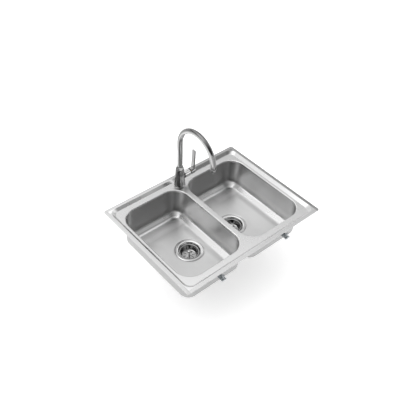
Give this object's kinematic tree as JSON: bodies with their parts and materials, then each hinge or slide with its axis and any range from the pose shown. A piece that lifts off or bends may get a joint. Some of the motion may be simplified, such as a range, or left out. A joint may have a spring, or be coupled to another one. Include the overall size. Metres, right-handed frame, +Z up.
{
  "type": "double bowl kitchen sink",
  "caption": "Inset double bowl kitchen sink in brushed steel with a stepped rim, lift-out strainer baskets and a gooseneck mixer tap with a side lever.",
  "frame": {"origin": "centre of the worktop cut-out, on the plane of the worktop top, where the rim seal bears", "axes": "+X to the right of the user, +Y towards the tap, +Z up"},
  "size_m": [0.65, 0.5, 0.601],
  "materials": {
    "brushed_steel": "satin stainless steel sheet",
    "polished_steel": "polished stainless steel",
    "chrome": "mirror chrome",
    "zinc_plate": "zinc plated steel",
    "brass": "machined brass",
    "black_rubber": "matt black rubber",
    "white_nylon": "white nylon",
    "grey_nylon": "grey nylon",
    "fibre": "pressed fibre washer"
  },
  "bodies": {
    "sink": {"sink_deck": "brushed_steel", "left_bowl": "brushed_steel", "right_bowl": "brushed_steel", "rim_seal": "black_rubber", "left_strainer_flange": "polished_steel", "left_strainer_cup": "polished_steel", "left_waste_gasket": "black_rubber", "left_fibre_washer": "fibre", "left_lock_nut": "grey_nylon", "left_tail_washer": "white_nylon", "left_tailpiece": "chrome", "left_slip_nut": "chrome", "right_strainer_flange": "polished_steel", "right_strainer_cup": "polished_steel", "right_waste_gasket": "black_rubber", "right_fibre_washer": "fibre", "right_lock_nut": "grey_nylon", "right_tail_washer": "white_nylon", "right_tailpiece": "chrome", "right_slip_nut": "chrome", "front_left_rail": "zinc_plate", "front_left_clip": "zinc_plate", "front_left_clip_screw": "zinc_plate", "back_left_rail": "zinc_plate", "back_left_clip": "zinc_plate", "back_left_clip_screw": "zinc_plate", "front_right_rail": "zinc_plate", "front_right_clip": "zinc_plate", "front_right_clip_screw": "zinc_plate", "back_right_rail": "zinc_plate", "back_right_clip": "zinc_plate", "back_right_clip_screw": "zinc_plate", "tap_gasket": "black_rubber", "tap_base_ring": "chrome", "tap_body": "chrome", "spout_glide_ring": "white_nylon", "spout_collar": "chrome", "tap_shank": "brass", "tap_rubber_washer": "black_rubber", "tap_steel_washer": "zinc_plate", "tap_nut": "brass", "hot_inlet": "brass", "cold_inlet": "brass", "cartridge": "white_nylon", "cartridge_nut": "chrome"},
    "spout": {"tap_spout": "chrome", "aerator_housing": "chrome", "aerator_insert": "grey_nylon"},
    "mixer_rotor": {"cartridge_rotor": "grey_nylon", "stem_pin": "zinc_plate"},
    "lever": {"lever_handle": "chrome", "lever_stem": "brass", "lever_grub_screw": "zinc_plate"},
    "left_basket_set": {"left_basket": "polished_steel", "left_basket_post": "chrome", "left_basket_stopper": "black_rubber"},
    "right_basket_set": {"right_basket": "polished_steel", "right_basket_post": "chrome", "right_basket_stopper": "black_rubber"}
  },
  "joints": [
    {"name": "spout_swivel", "type": "hinge", "parent": "sink", "child": "spout", "pos_m": [0, 0.198, 0.1], "axis": [0, 0, 1], "range_deg": [-110, 110]},
    {"name": "lever_turn", "type": "hinge", "parent": "sink", "child": "mixer_rotor", "pos_m": [0.038, 0.198, 0.0387], "axis": [1, 0, 0], "range_deg": [-45, 45]},
    {"name": "lever_tip", "type": "hinge", "parent": "mixer_rotor", "child": "lever", "pos_m": [0.038, 0.198, 0.0387], "axis": [0, 1, 0], "range_deg": [0, 18]},
    {"name": "left_basket_lift", "type": "slide", "parent": "sink", "child": "left_basket_set", "axis": [0, 0, 1], "range_m": [0, 0.12]},
    {"name": "right_basket_lift", "type": "slide", "parent": "sink", "child": "right_basket_set", "axis": [0, 0, 1], "range_m": [0, 0.12]}
  ]
}
